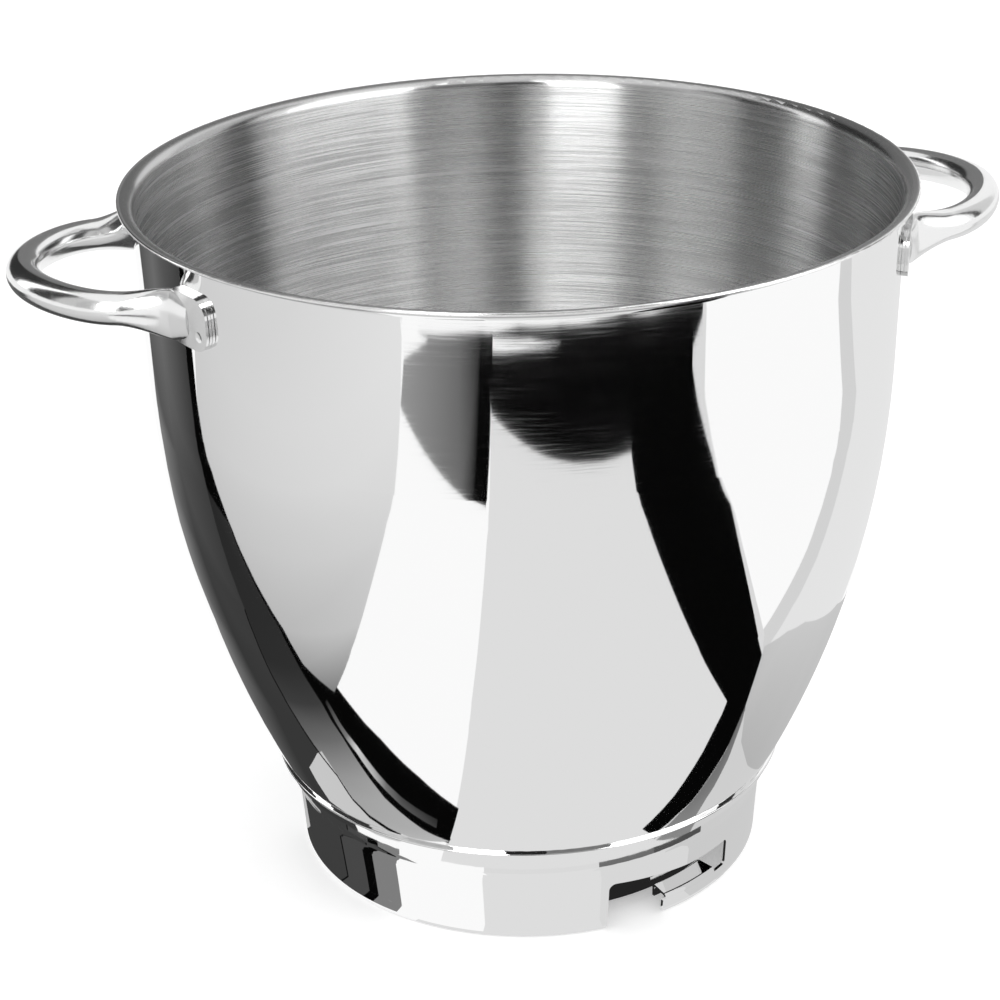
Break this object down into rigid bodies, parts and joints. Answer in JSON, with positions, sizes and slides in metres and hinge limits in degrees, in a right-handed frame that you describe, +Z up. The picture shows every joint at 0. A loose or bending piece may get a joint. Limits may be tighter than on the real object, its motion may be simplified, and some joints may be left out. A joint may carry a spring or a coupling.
{
  "type": "stand mixer bowl",
  "caption": "Deep stainless steel mixing bowl with a turned-out lip, looped side handles and a bayonet foot ring for a stand mixer.",
  "frame": {"origin": "on the bowl's axis, in the plane on which the foot ring stands", "axes": "+Z up along the bowl's axis, +X through the middle of the right handle, with the front bayonet slot to the right of -Y"},
  "size_m": [0.3076, 0.24, 0.2219],
  "materials": {
    "bowl_steel": "mirror-polished outside, finely brushed round the inside and on the lip",
    "foot_steel": "mirror-polished",
    "handle_steel": "mirror-polished"
  },
  "bodies": {
    "root": {"bowl": "bowl_steel", "foot_ring": "foot_steel", "left_handle": "handle_steel", "right_handle": "handle_steel"}
  },
  "joints": []
}
